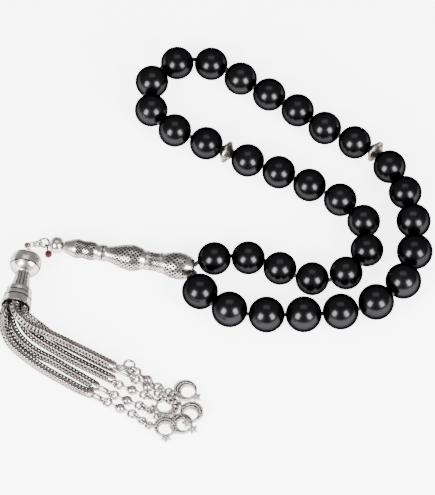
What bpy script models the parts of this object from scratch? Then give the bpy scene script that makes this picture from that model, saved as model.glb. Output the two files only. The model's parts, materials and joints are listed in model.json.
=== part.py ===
"""Misbaha prayer beads laid out on a table, modelled as separate named pieces.

Thirty-three round beads and two divider beads are threaded on one cord, both ends of which run into a long
turned leader bead. From the leader's tail hang a small ball bead, a ring, a link, a bell-shaped cap and five
chain strands. Each strand ends in a ball link and a crescent charm.

Metres, +Z up, table top at Z = 0, origin under the middle of the whole layout.
"""

import math

import bmesh
import bpy
from mathutils import Vector

MM = 0.001
UP = Vector((0.0, 0.0, 1.0))
TURN = 2 * math.pi

# Beads and cord
BEAD_RADIUS = 5.0 * MM
BIG_BEAD_RADIUS = 5.4 * MM
MIDDLE_BEAD_RADIUS = 5.2 * MM
BEADS_PER_THIRD = 11
MIDDLE_BEAD = 25
BORE_RADIUS = 0.9 * MM
CORD_RADIUS = 0.6 * MM
CORNER_EASE = 0.7 * MM
DIVIDER_RADIUS = 3.4 * MM
DIVIDER_HALF = 1.7 * MM
BEAD_BANDS = 6
BEAD_SIDES = 12

# Leader bead: the mouth takes both cord ends, the tail carries the tassel
LEADER_MOUTH = Vector((-7.2, -8.85, 4.1)) * MM
LEADER_TAIL = Vector((-45.6, -1.0, 4.1)) * MM
LEADER_CAVITY_RADIUS = 2.15 * MM
LEADER_CAVITY_DEPTH = 6.0 * MM
LEADER_BORE_RADIUS = 0.75 * MM

# Tip bead, loop, ring and link between the leader and the cap
TIP_HALF = 1.95 * MM
TIP_RADIUS = 2.5 * MM
TIP_GAP = 0.3 * MM
PIN_RADIUS = 0.45 * MM
LOOP_CENTRE = Vector((-51.55, 0.2, 4.1)) * MM
LOOP_MAJOR = 1.5 * MM
LOOP_WIRE = 0.35 * MM
HANGER_MAJOR = 1.25 * MM
HANGER_FROM_LOOP = 1.95 * MM
LINK_WIRE = 0.22 * MM
LINK_NEAR = 2.45 * MM
LINK_FAR = 5.1 * MM
LINK_HALF_WIDTH = 0.75 * MM
KNOT_RADIUS = 1.1 * MM
KNOT_CENTRE = Vector((-50.3, -1.9, 1.25)) * MM
KNOT_COLLAR = 0.75 * MM
KNOT_WIRE = 0.2 * MM

# Cap: distances run along its axis from the top of the grooved head
CAP_TOP = Vector((-56.3, -3.7, 4.75)) * MM
CAP_AXIS = Vector((-0.176, -0.984, 0.0)).normalized()
CAP_BORE_RADIUS = 0.75 * MM
EYE_MAJOR = 1.2 * MM
EYE_WIRE = 0.35 * MM
EYE_STAND_OFF = 1.8 * MM
INNER_EYE_MAJOR = 1.1 * MM
INNER_EYE_AT = 16.0 * MM
CHAIN_RING_MAJOR = 1.3 * MM
CHAIN_RING_AT = 17.6 * MM

# Strands and end units
STRAND_RADIUS = 1.35 * MM
STRAND_SIDES = 8
BALL_RADIUS = 1.45 * MM
RING_MAJOR = 1.15 * MM
RING_WIRE = 0.35 * MM
JUMP_MAJOR = 1.2 * MM
JUMP_WIRE = 0.3 * MM
JUMP_OFFSET = 0.3 * MM
STRAND_EYE_MAJOR = 0.9 * MM
STRAND_EYE_OFFSET = 0.1 * MM
NEAR_RING_AT = 4.3 * MM
FAR_EYE_AT = 4.0 * MM
ROD_RADIUS = 0.4 * MM
CRESCENT_RADIUS = 3.5 * MM
CRESCENT_HOLE_RADIUS = 2.3 * MM
CRESCENT_HOLE_OFFSET = 0.85 * MM
CHARM_THICKNESS = 1.1 * MM
STAR_RADIUS = 1.6 * MM
STAR_WAIST = 0.5
STAR_OUT = 4.0 * MM

# The cord's points between one bead and the next, by hand, in millimetres: each bead sits midway between two
# of them. The first two and the last four lead into the leader bead.
CORD_ROUTE = [
    (-11.5, -7.25, 4.1), (-6.9, -8.15, 4.2), (-5.9, -7.1, 5.0), (4.0, -4.8, 5.0), (14.3, -6.6, 5.0),
    (22.8, -12.2, 5.0), (33.4, -13.9, 5.0), (42.9, -8.2, 5.0), (45.9, 2.4, 5.0), (41.2, 12.2, 5.0),
    (32.0, 17.7, 5.0), (23.0, 22.7, 5.0), (13.7, 26.9, 5.0), (4.4, 31.2, 5.0), (1.2, 32.8, 5.0),
    (-7.9, 37.6, 5.0), (-17.7, 42.1, 5.0), (-22.1, 52.3, 5.0), (-17.4, 62.6, 5.0), (-6.9, 66.0, 5.0),
    (3.1, 62.0, 5.0), (10.9, 55.2, 5.0), (20.2, 50.5, 5.0), (28.0, 43.7, 5.0), (36.4, 37.7, 5.0),
    (45.9, 33.4, 5.0), (48.7, 31.1, 5.0), (54.3, 22.4, 5.0), (57.8, 12.7, 5.1), (59.0, 1.9, 5.4),
    (58.2, -9.3, 5.4), (52.0, -18.9, 5.4), (41.9, -24.1, 5.4), (31.0, -25.7, 5.4), (20.0, -26.0, 5.4),
    (9.0, -25.9, 5.4), (-1.9, -22.3, 5.4), (-8.5, -13.3, 5.4), (-8.9, -12.7, 5.2),
    (-6.2, -11.4, 4.7), (-7.3, -9.5, 4.15), (-11.75, -8.65, 4.1),
]
CORD_LEADS = (2, 4)

# Each strand's middle, by hand, in millimetres, from in front of the cap's mouth to its end.
STRAND_ROUTES = [
    [(-62.5, -24.1, 5.55), (-63.3, -26.4, 4.7), (-63.0, -29.3, 2.7), (-61.0, -33.4, 1.35), (-57.6, -37.2, 1.35),
     (-53.8, -40.5, 1.35), (-49.7, -43.6, 1.35), (-45.2, -46.5, 1.35), (-40.8, -49.3, 1.35), (-37.2, -51.1, 1.35)],
    [(-61.6, -24.3, 2.65), (-61.2, -26.7, 2.0), (-59.6, -30.2, 1.4), (-56.6, -34.0, 1.35), (-52.8, -37.1, 1.35),
     (-48.7, -39.5, 1.35), (-44.5, -42.4, 1.35), (-40.2, -45.3, 1.35), (-35.6, -48.5, 1.35)],
    [(-58.4, -24.9, 2.65), (-57.6, -26.7, 2.1), (-55.6, -29.6, 1.4), (-52.3, -32.6, 1.35), (-48.5, -35.3, 1.35),
     (-44.5, -38.0, 1.35), (-40.7, -40.3, 1.35), (-36.7, -42.6, 1.35), (-33.3, -44.6, 1.35), (-30.8, -46.1, 1.35)],
    [(-57.5, -25.2, 5.6), (-55.8, -26.6, 4.5), (-53.2, -27.8, 2.6), (-50.1, -29.9, 1.45), (-46.1, -32.9, 1.35),
     (-41.8, -35.4, 1.35), (-37.5, -38.0, 1.35), (-33.3, -40.5, 1.35), (-29.8, -42.4, 1.35)],
    [(-60.0, -24.6, 7.4), (-58.8, -27.4, 7.1), (-55.4, -29.9, 5.6), (-51.0, -31.3, 4.15), (-46.6, -33.7, 4.05),
     (-42.2, -36.2, 4.05), (-37.9, -38.7, 4.05), (-33.7, -41.2, 4.05), (-30.6, -43.0, 4.0)],
]

# End units, laid out in a frame that runs along the ends of the strands, in millimetres and degrees: the ball,
# the ball link's direction, the height of the jump ring, the flat rings after it as (along, across, height), the
# crescent's centre, its star's direction and its base.
END_ORIGIN = Vector((-28.6, -56.2, 0.0)) * MM
END_ALONG = Vector((0.86, -0.51, 0.0)).normalized()
END_ACROSS = Vector((0.51, 0.86, 0.0)).normalized()
END_UNITS = [
    dict(ball=(0.0, 0.0, 1.5), turn=2, jump=1.6, rings=[(7.8, -0.3, 1.5), (10.4, -0.8, 1.7)],
         crescent=(14.8, 1.2), star=-58, base=1.45),
    dict(ball=(0.35, 3.4, 1.5), turn=5, jump=1.6, rings=[(8.2, 3.8, 1.9), (10.75, 3.4, 1.0), (13.15, 3.75, 0.47)],
         crescent=(17.75, 5.1), star=0, base=0.0),
    dict(ball=(-0.3, 7.2, 1.5), turn=6, jump=1.6, rings=[], crescent=(11.2, 8.35), star=225, base=0.0),
    dict(ball=(1.8, 12.6, 1.5), turn=-9, jump=1.6, rings=[(9.4, 12.2, 1.6), (11.5, 11.85, 1.95)],
         crescent=(12.95, 15.65), star=-6, base=0.0),
    dict(ball=(3.6, 9.6, 3.25), turn=-4, jump=3.0, rings=[(11.4, 9.2, 2.5), (13.8, 9.6, 2.05)],
         crescent=(18.8, 9.4), star=-78, base=1.45),
]

# Outlines as (distance along the axis, radius) in millimetres, turned round the axis.
LEADER_OUTLINE = [
    (0.0, 2.55), (1.0, 3.25), (2.6, 3.85), (4.6, 4.1), (6.4, 3.85), (8.0, 3.35), (9.3, 2.95), (9.5, 3.1), (10.1, 3.1),
    (10.3, 2.85), (12.0, 2.75), (13.4, 2.85), (13.6, 3.0), (14.2, 3.0), (14.5, 2.7), (16.0, 3.45), (18.6, 4.0),
    (21.2, 3.6), (24.0, 2.7), (26.1, 2.2), (26.6, 2.5), (28.2, 2.5), (28.9, 2.2), (30.1, 2.75), (31.5, 2.9),
    (33.3, 2.6), (35.1, 2.95), (36.3, 2.75), (37.9, 2.1), (39.3, 1.6),
]
CAP_OUTLINE = [
    (0.0, 1.3), (0.5, 2.7), (1.5, 4.0), (2.7, 4.6), (3.9, 4.7), (5.1, 4.55), (6.3, 3.9), (7.2, 2.7), (7.6, 2.15),
    (10.5, 2.45), (13.3, 2.9), (13.7, 3.8), (14.9, 3.85), (15.1, 3.6), (15.5, 3.6), (15.8, 4.15), (16.9, 4.2),
    (17.2, 4.3), (18.6, 4.5), (19.5, 4.7),
]


def material(name, colour, roughness, metallic):
    made = bpy.data.materials.new(name)
    made.use_nodes = True
    shader = made.node_tree.nodes["Principled BSDF"]
    shader.inputs["Base Color"].default_value = (*colour, 1.0)
    shader.inputs["Roughness"].default_value = roughness
    shader.inputs["Metallic"].default_value = metallic
    made.diffuse_color = (*colour, 1.0)
    return made


def finished(name, mesh, finish, smooth=True):
    """The bmesh as an object with its faces out."""
    bmesh.ops.recalc_face_normals(mesh, faces=mesh.faces)
    data = bpy.data.meshes.new(name)
    mesh.to_mesh(data)
    mesh.free()
    for polygon in data.polygons:
        polygon.use_smooth = smooth
    data.materials.append(finish)
    made = bpy.data.objects.new(name, data)
    bpy.context.scene.collection.objects.link(made)
    return made


def skin(mesh, first, second):
    """Faces between two rings of vertices, either of which may be a single point."""
    count = max(len(first), len(second))
    for k in range(count):
        corners = [first[k % len(first)], first[(k + 1) % len(first)]]
        corners += [second[(k + 1) % len(second)], second[k % len(second)]]
        corners = list(dict.fromkeys(corners))
        mesh.faces.new(corners)


def circle(mesh, centre, across, up, radius, sides):
    if radius == 0.0:
        return [mesh.verts.new(centre)]
    found = []
    for k in range(sides):
        angle = TURN * k / sides
        found.append(mesh.verts.new(centre + radius * (math.cos(angle) * across + math.sin(angle) * up)))
    return found


def frame_of(axis):
    """Two directions square to the axis, the second as near up as it can be."""
    along = axis.normalized()
    helper = UP if abs(along.z) < 0.9 else Vector((1.0, 0.0, 0.0))
    across = helper.cross(along).normalized()
    return across, along.cross(across)


def turned(name, outline, start, axis, finish, sides=16, closed=False):
    """An outline of (along, radius) turned round the axis: a closed one makes a ring, an open one is capped."""
    mesh = bmesh.new()
    across, up = frame_of(axis)
    along = axis.normalized()
    rings = [circle(mesh, start + along * place, across, up, radius, sides) for place, radius in outline]
    pairs = list(zip(rings, rings[1:]))
    if closed:
        pairs.append((rings[-1], rings[0]))
    for first, second in pairs:
        skin(mesh, first, second)
    if not closed:
        for ring in (rings[0], rings[-1]):
            if len(ring) > 1:
                mesh.faces.new(ring)
    return finished(name, mesh, finish)


def ball(name, centre, radius, finish, sides=10, bands=6):
    outline = []
    for k in range(bands + 1):
        angle = math.pi * k / bands
        outline.append((-radius * math.cos(angle), radius * math.sin(angle) if 0 < k < bands else 0.0))
    return turned(name, outline, centre, UP, finish, sides)


def hoop(name, centre, normal, major, wire, finish, steps=12, sides=6):
    """A plain round ring of wire."""
    outline = []
    for k in range(sides):
        angle = TURN * (k + 0.5) / sides
        outline.append((wire * math.sin(angle), major + wire * math.cos(angle)))
    return turned(name, outline, centre, normal, finish, steps, closed=True)


def rod(name, start, end, radius, finish, sides=8):
    return turned(name, [(0.0, radius), ((end - start).length, radius)], start, end - start, finish, sides)


def swept(name, points, radii, finish, sides):
    """A tube along the points, its sides kept from twisting."""
    mesh = bmesh.new()
    rings = []
    up = UP
    for k, point in enumerate(points):
        ahead = points[min(k + 1, len(points) - 1)] - points[max(k - 1, 0)]
        ahead.normalize()
        across = up.cross(ahead).normalized()
        up = ahead.cross(across)
        rings.append(circle(mesh, point, across, up, radii[k], sides))
    for first, second in zip(rings, rings[1:]):
        skin(mesh, first, second)
    for ring in (rings[0], rings[-1]):
        mesh.faces.new(ring)
    return finished(name, mesh, finish)


def flowing(route, steps):
    """Points along a smooth line through the route."""
    whole = [2 * route[0] - route[1], *route, 2 * route[-1] - route[-2]]
    found = []
    for before, start, end, after in zip(whole, whole[1:], whole[2:], whole[3:]):
        for k in range(steps):
            t = k / steps
            found.append(0.5 * (2 * start + (end - before) * t + (2 * before - 5 * start + 4 * end - after) * t * t
                                + (3 * start - before - 3 * end + after) * t * t * t))
    return [*found, route[-1].copy()]


def fused(name, pieces):
    """The first piece joined with the rest, which stay behind as hidden helpers."""
    base = pieces[0]
    base.name = name
    for helper in pieces[1:]:
        helper.hide_render = True
        helper.display_type = "WIRE"
        joined = base.modifiers.new("join", "BOOLEAN")
        joined.operation = "UNION"
        joined.solver = "EXACT"
        joined.object = helper
    return base


def pierced_ball(name, first, second, radius, finish):
    """A bead threaded on the line from one junction to the next."""
    axis = (second - first).normalized()
    reach = math.sqrt(radius * radius - BORE_RADIUS * BORE_RADIUS)
    low = math.asin(BORE_RADIUS / radius)
    outline = []
    for k in range(BEAD_BANDS + 1):
        angle = low + (math.pi - 2 * low) * k / BEAD_BANDS
        outline.append((-radius * math.cos(angle), radius * math.sin(angle)))
    outline[0] = (-reach, BORE_RADIUS)
    outline[-1] = (reach, BORE_RADIUS)
    return turned(name, outline, (first + second) / 2, axis, finish, BEAD_SIDES, closed=True)


def divider(name, first, second, finish):
    axis = (second - first).normalized()
    half = DIVIDER_HALF
    outline = [(-half, BORE_RADIUS), (-half, 0.45 * DIVIDER_RADIUS), (-0.35 * half, 0.86 * DIVIDER_RADIUS),
               (-0.2 * half, DIVIDER_RADIUS), (0.2 * half, DIVIDER_RADIUS), (0.35 * half, 0.86 * DIVIDER_RADIUS),
               (half, 0.45 * DIVIDER_RADIUS), (half, BORE_RADIUS)]
    return turned(name, outline, (first + second) / 2, axis, finish, BEAD_SIDES, closed=True)


def string_of_beads(junctions, finishes):
    """The beads and dividers, in order along the cord from the leader bead's mouth and back to it."""
    spans = list(zip(junctions, junctions[1:]))
    number = 0
    dividers = 0
    for k, (first, second) in enumerate(spans):
        if k in (BEADS_PER_THIRD, 2 * BEADS_PER_THIRD + 1):
            dividers += 1
            divider(f"divider_{dividers}", first, second, finishes["silver"])
            continue
        number += 1
        radius = BEAD_RADIUS if number < MIDDLE_BEAD else BIG_BEAD_RADIUS
        if number == MIDDLE_BEAD:
            radius = MIDDLE_BEAD_RADIUS
        pierced_ball(f"bead_{number:02d}", first, second, radius, finishes["black"])


def cord(route, finish):
    """The cord turns at each junction over two points rather than one."""
    points = [route[0]]
    for before, corner, after in zip(route, route[1:], route[2:]):
        points.append(corner + (before - corner).normalized() * CORNER_EASE)
        points.append(corner + (after - corner).normalized() * CORNER_EASE)
    points.append(route[-1])
    swept("bead_cord", points, [CORD_RADIUS] * len(points), finish, 8)


def leader_bead(finish):
    axis = LEADER_TAIL - LEADER_MOUTH
    outline = [(along * MM, radius * MM) for along, radius in LEADER_OUTLINE]
    outline += [(outline[-1][0], LEADER_BORE_RADIUS), (LEADER_CAVITY_DEPTH + 1.5 * MM, LEADER_BORE_RADIUS),
                (LEADER_CAVITY_DEPTH, LEADER_CAVITY_RADIUS), (0.0, LEADER_CAVITY_RADIUS)]
    turned("leader_bead", outline, LEADER_MOUTH, axis, finish, 16, closed=True)


def tip(finish):
    """The ball at the tail of the leader, and the pin through it that ends in a loop."""
    away = (LEADER_TAIL - LEADER_MOUTH).normalized()
    centre = LEADER_TAIL + away * (TIP_GAP + TIP_HALF)
    bore = LEADER_BORE_RADIUS
    outline = [(-TIP_HALF, bore), (-TIP_HALF, 1.4 * MM), (-1.4 * MM, 2.05 * MM), (-0.5 * MM, TIP_RADIUS),
               (0.5 * MM, TIP_RADIUS), (1.4 * MM, 2.05 * MM), (TIP_HALF, 1.4 * MM), (TIP_HALF, bore)]
    turned("tip_bead", outline, centre, away, finish, 14, closed=True)
    loop = hoop("tip_loop", LOOP_CENTRE, UP, LOOP_MAJOR, LOOP_WIRE, finish, 16)
    inner = LEADER_MOUTH + away * (LEADER_CAVITY_DEPTH + 6.0 * MM)
    near = LOOP_CENTRE - away * LOOP_MAJOR
    near.z = inner.z
    fused("tip_loop", [loop, rod("tip_pin", inner, near, PIN_RADIUS, finish)])


def hanger(finishes):
    """The ring and the fine link that carry the cap from the loop."""
    target = CAP_TOP - CAP_AXIS * (EYE_STAND_OFF + EYE_MAJOR)
    ahead = target - LOOP_CENTRE
    ahead.z = 0.0
    ahead.normalize()
    side = UP.cross(ahead)
    hoop("hanger_ring", LOOP_CENTRE + ahead * HANGER_FROM_LOOP, side, HANGER_MAJOR, RING_WIRE, finishes["silver"])
    mesh = bmesh.new()
    lift = Vector((0.0, 0.0, 0.35 * MM))
    near = LOOP_CENTRE + ahead * (LINK_NEAR + LINK_HALF_WIDTH) + lift
    far = LOOP_CENTRE + ahead * (LINK_FAR - LINK_HALF_WIDTH) + lift
    rings = []
    for middle, first_angle in ((near, math.pi / 2), (far, -math.pi / 2)):
        for k in range(7):
            angle = first_angle + math.pi * k / 6
            out = math.cos(angle) * ahead + math.sin(angle) * side
            rings.append(circle(mesh, middle + out * LINK_HALF_WIDTH, out, UP, LINK_WIRE, 6))
    for first, second in zip(rings, [*rings[1:], rings[0]]):
        skin(mesh, first, second)
    finished("hanger_thread", mesh, finishes["thread"])


def red_knot(finish):
    """A knot of dark red thread, tied to the loop's wire."""
    out = KNOT_CENTRE - LOOP_CENTRE
    out.z = 0.0
    out.normalize()
    wire = LOOP_CENTRE + out * LOOP_MAJOR
    collar = hoop("knot_collar", wire, UP.cross(out), KNOT_COLLAR, KNOT_WIRE, finish, 12, 5)
    start = wire + Vector((0.3, -0.5, -1.0)).normalized() * KNOT_COLLAR
    stem = rod("knot_stem", start, KNOT_CENTRE, 0.25 * MM, finish, 6)
    fused("red_knot", [ball("red_knot", KNOT_CENTRE, KNOT_RADIUS, finish, 8, 5), stem, collar])


def tassel_cap(finish):
    outline = [(along * MM, radius * MM) for along, radius in CAP_OUTLINE]
    outline += [(19.5 * MM, 4.2 * MM), (17.2 * MM, 3.8 * MM), (14.2 * MM, 3.0 * MM), (14.0 * MM, CAP_BORE_RADIUS),
                (0.0, CAP_BORE_RADIUS)]
    turned("tassel_cap", outline, CAP_TOP, CAP_AXIS, finish, 18, closed=True)


def eye_pin(finish):
    """The pin through the cap, with an eye over the head and another inside the bell."""
    side = UP.cross(CAP_AXIS)
    top = CAP_TOP - CAP_AXIS * EYE_STAND_OFF
    inner = CAP_TOP + CAP_AXIS * INNER_EYE_AT
    upper = hoop("eye_pin", top, side, EYE_MAJOR, EYE_WIRE, finish)
    lower = hoop("inner_eye", inner, side, INNER_EYE_MAJOR, EYE_WIRE, finish)
    stem = rod("eye_stem", top + CAP_AXIS * EYE_MAJOR, inner - CAP_AXIS * INNER_EYE_MAJOR, PIN_RADIUS, finish)
    fused("eye_pin", [upper, stem, lower])
    hoop("chain_ring", CAP_TOP + CAP_AXIS * CHAIN_RING_AT, UP, CHAIN_RING_MAJOR, EYE_WIRE, finish)


def end_place(along, across, height=0.0):
    return END_ORIGIN + (END_ALONG * along + END_ACROSS * across) * MM + UP * (height * MM)


def end_direction(degrees):
    angle = math.radians(degrees)
    return END_ALONG * math.cos(angle) + END_ACROSS * math.sin(angle)


def strand(number, route, unit, finish):
    """A strand, with the small upright ring at its end that the ball link hangs on."""
    points = flowing([Vector(point) * MM for point in route], 2)
    radii = [STRAND_RADIUS] * len(points)
    begin = points[0] + (points[0] - points[1]).normalized() * (0.8 * MM)
    finish_at = points[-1] + (points[-1] - points[-2]).normalized() * (0.6 * MM)
    points = [begin, *points, finish_at]
    radii = [0.7 * MM, *radii, 0.8 * MM]
    name = f"chain_{number}"
    body = swept(name, points, radii, finish, STRAND_SIDES)
    ahead = end_direction(unit["turn"])
    centre = end_place(*unit["ball"]) - ahead * (NEAR_RING_AT + RING_MAJOR + STRAND_EYE_OFFSET)
    eye = hoop(f"{name}_eye", centre, UP.cross(ahead), STRAND_EYE_MAJOR, JUMP_WIRE, finish, 10, 5)
    back = centre - ahead * STRAND_EYE_MAJOR
    stem = rod(f"{name}_stem", points[-2], back, ROD_RADIUS, finish, 6)
    fused(name, [body, stem, eye])


def ball_link(number, unit, finish):
    """A ball on a pin with an eye at each end."""
    name = f"ball_link_{number}"
    ahead = end_direction(unit["turn"])
    middle = end_place(*unit["ball"])
    near = middle - ahead * NEAR_RING_AT
    far = middle + ahead * FAR_EYE_AT
    stem = rod(f"{name}_stem", near + ahead * RING_MAJOR, far - ahead * RING_MAJOR, ROD_RADIUS, finish, 6)
    pieces = [ball(name, middle, BALL_RADIUS, finish), stem]
    for tag, centre in (("near", near), ("far", far)):
        pieces.append(hoop(f"{name}_{tag}", centre, UP, RING_MAJOR, RING_WIRE, finish, 12, 5))
    fused(name, pieces)


def crescent(name, centre, toward, finish):
    """A flat ring whose hole lies off its middle, towards the star."""
    mesh = bmesh.new()
    first = (toward + UP.cross(toward) * 0.15).normalized()
    side = UP.cross(first)
    rings = []
    for radius, middle in ((CRESCENT_RADIUS, centre), (CRESCENT_HOLE_RADIUS, centre + toward * CRESCENT_HOLE_OFFSET)):
        for height in (0.0, CHARM_THICKNESS):
            rings.append(circle(mesh, middle + UP * height, first, side, radius, 16))
    outer_low, outer_high, inner_low, inner_high = rings
    skin(mesh, outer_low, outer_high)
    skin(mesh, outer_high, inner_high)
    skin(mesh, inner_high, inner_low)
    skin(mesh, inner_low, outer_low)
    return finished(name, mesh, finish, smooth=False)


def star(name, centre, toward, finish):
    mesh = bmesh.new()
    side = UP.cross(toward)
    levels = []
    for height in (0.1 * MM, CHARM_THICKNESS + 0.1 * MM):
        level = []
        for k in range(10):
            angle = math.pi * k / 5
            reach = STAR_RADIUS * (1.0 if k % 2 == 0 else STAR_WAIST)
            spot = centre + (toward * math.cos(angle) + side * math.sin(angle)) * reach
            level.append(mesh.verts.new(spot + UP * height))
        levels.append(level)
    skin(mesh, levels[0], levels[1])
    mesh.faces.new(levels[0])
    mesh.faces.new(levels[1])
    return finished(name, mesh, finish, smooth=False)


def charm(number, unit, finish):
    """The jump ring, the flat rings after it, and the crescent with its star, joined as one hanging piece."""
    name = f"charm_{number}"
    hinge = end_place(*unit["ball"]) + end_direction(unit["turn"]) * (FAR_EYE_AT + RING_MAJOR)
    hinge.z = unit["jump"] * MM
    base = end_place(*unit["crescent"], unit["base"])
    stops = [(end_place(*ring), 0.9 * MM) for ring in unit["rings"]]
    stops.append((base + UP * (CHARM_THICKNESS / 2), CRESCENT_RADIUS - 0.4 * MM))
    ahead = stops[0][0] - hinge
    ahead.z = 0.0
    ahead.normalize()
    jump = hinge + ahead * JUMP_OFFSET
    toward = end_direction(unit["star"])
    pieces = [crescent(name, base, toward, finish), star(f"{name}_star", base + toward * STAR_OUT, toward, finish)]
    pieces.append(hoop(f"{name}_jump", jump, UP.cross(ahead), JUMP_MAJOR, JUMP_WIRE, finish, 12, 5))
    before = (jump, JUMP_MAJOR)
    for k, (place, radius) in enumerate(stops):
        gap = place - before[0]
        gap.z = 0.0
        gap.normalize()
        start = before[0] + gap * (before[1] - 0.07 * MM)
        end = place - gap * (radius - 0.11 * MM)
        if (end - start).length > 0.3 * MM:
            pieces.append(rod(f"{name}_rod_{k}", start, end, JUMP_WIRE, finish, 6))
        if k < len(stops) - 1:
            pieces.append(hoop(f"{name}_ring_{k}", place, UP, radius, JUMP_WIRE, finish, 10, 5))
        before = (place, radius)
    fused(name, pieces)


def clear():
    for old in list(bpy.data.objects):
        bpy.data.objects.remove(old)


clear()
finishes = {
    "black": material("gloss black", (0.006, 0.006, 0.007), 0.12, 0.0),
    "silver": material("polished silver", (0.80, 0.78, 0.76), 0.22, 1.0),
    "chain": material("woven silver", (0.52, 0.48, 0.47), 0.38, 1.0),
    "cord": material("black cord", (0.012, 0.011, 0.011), 0.8, 0.0),
    "thread": material("rose thread", (0.42, 0.22, 0.20), 0.6, 0.0),
    "garnet": material("garnet thread", (0.16, 0.01, 0.02), 0.45, 0.0),
}
route = [Vector(point) * MM for point in CORD_ROUTE]
string_of_beads(route[CORD_LEADS[0]:-CORD_LEADS[1]], finishes)
cord(route, finishes["cord"])
leader_bead(finishes["silver"])
tip(finishes["silver"])
hanger(finishes)
red_knot(finishes["garnet"])
tassel_cap(finishes["silver"])
eye_pin(finishes["silver"])
for number, (strand_route, unit) in enumerate(zip(STRAND_ROUTES, END_UNITS), 1):
    strand(number, strand_route, unit, finishes["chain"])
    ball_link(number, unit, finishes["silver"])
    charm(number, unit, finishes["silver"])
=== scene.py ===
import json
import math

import bpy
from mathutils import Matrix, Vector


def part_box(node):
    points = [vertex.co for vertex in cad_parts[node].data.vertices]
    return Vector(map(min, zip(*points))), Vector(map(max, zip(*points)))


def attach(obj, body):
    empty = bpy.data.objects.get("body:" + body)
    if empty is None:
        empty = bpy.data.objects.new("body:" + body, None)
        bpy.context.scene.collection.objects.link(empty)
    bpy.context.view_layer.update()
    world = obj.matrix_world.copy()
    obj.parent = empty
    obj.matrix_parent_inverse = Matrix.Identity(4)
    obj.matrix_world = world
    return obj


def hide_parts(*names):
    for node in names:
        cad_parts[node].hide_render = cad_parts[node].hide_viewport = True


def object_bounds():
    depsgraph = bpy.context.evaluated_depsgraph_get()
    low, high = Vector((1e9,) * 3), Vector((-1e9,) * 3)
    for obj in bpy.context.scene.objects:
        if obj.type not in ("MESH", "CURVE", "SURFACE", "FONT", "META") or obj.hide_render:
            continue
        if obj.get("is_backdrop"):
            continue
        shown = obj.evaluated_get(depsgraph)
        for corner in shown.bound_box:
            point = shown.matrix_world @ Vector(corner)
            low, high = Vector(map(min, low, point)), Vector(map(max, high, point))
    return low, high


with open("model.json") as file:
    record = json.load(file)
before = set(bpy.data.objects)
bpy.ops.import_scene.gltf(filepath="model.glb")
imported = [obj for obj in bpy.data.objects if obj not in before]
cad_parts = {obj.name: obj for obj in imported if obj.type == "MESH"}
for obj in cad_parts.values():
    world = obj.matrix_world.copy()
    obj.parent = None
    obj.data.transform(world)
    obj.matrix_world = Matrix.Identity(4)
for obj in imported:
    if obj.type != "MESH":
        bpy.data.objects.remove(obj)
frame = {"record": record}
cadLow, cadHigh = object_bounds()
mm = 0.001
up = Vector((0.0, 0.0, 1.0))
turn = 2 * math.pi


# Camera and light. Sizes and places are in millimetres and angles in degrees, here and below.

view = dict(aim=(0.0, 1.2, 0.0), elevation=57.0, lens=600.0, sensor=36.0, across=147.5)
softboxes = dict(side=38.0, drop=13.0, distance=900.0, size=(340.0, 480.0), power=26.0,
                 tint=(1.0, 0.99, 0.98))
topLight = dict(spot=(0.0, 260.0, 1000.0), size=(700.0, 500.0), power=3.0)
studio = dict(colour=(0.9, 0.92, 0.95, 1.0), strength=0.62)


def lookAt(obj, spot, target):
    obj.location = spot
    obj.rotation_euler = (target - spot).to_track_quat("-Z", "Y").to_euler()


def setCamera():
    lens = bpy.data.cameras.new("camera")
    lens.lens = view["lens"]
    lens.sensor_width = view["sensor"]
    lens.clip_start = 0.1
    lens.clip_end = 50.0  # metres
    camera = bpy.data.objects.new("camera", lens)
    bpy.context.scene.collection.objects.link(camera)
    rise = math.radians(view["elevation"])
    away = Vector((0.0, -math.cos(rise), math.sin(rise)))
    aim = Vector(view["aim"]) * mm
    reach = view["across"] * mm * view["lens"] / view["sensor"]
    lookAt(camera, aim + away * reach, aim)
    bpy.context.scene.camera = camera
    return away, aim


def addSoftbox(name, spot, target, size, power, tint=(1.0, 1.0, 1.0)):
    lamp = bpy.data.lights.new(name, "AREA")
    lamp.shape = "RECTANGLE"
    lamp.size = size[0] * mm
    lamp.size_y = size[1] * mm
    lamp.energy = power
    lamp.color = tint
    obj = bpy.data.objects.new(name, lamp)
    bpy.context.scene.collection.objects.link(obj)
    lookAt(obj, spot, target)


def setLights(away, aim):
    right = Vector((1.0, 0.0, 0.0))
    over = away.cross(right)
    side = math.radians(softboxes["side"])
    drop = math.radians(softboxes["drop"])
    for name, sign in (("softboxLeft", -1.0), ("softboxRight", 1.0)):
        way = away * math.cos(side) + right * sign * math.sin(side) - over * math.sin(drop)
        spot = aim + way.normalized() * softboxes["distance"] * mm
        addSoftbox(name, spot, aim, softboxes["size"], softboxes["power"], softboxes["tint"])
    addSoftbox("softboxTop", Vector(topLight["spot"]) * mm, aim, topLight["size"], topLight["power"])
    world = bpy.data.worlds.new("studio")
    world.use_nodes = True
    background = world.node_tree.nodes["Background"]
    background.inputs["Color"].default_value = studio["colour"]
    background.inputs["Strength"].default_value = studio["strength"]
    bpy.context.scene.world = world


away, aim = setCamera()
setLights(away, aim)
print("camera and lights set")


# Materials

silverTint = (0.2, 0.19, 0.19, 1.0)  # keeps the rims of round metal dark against a white table


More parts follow.
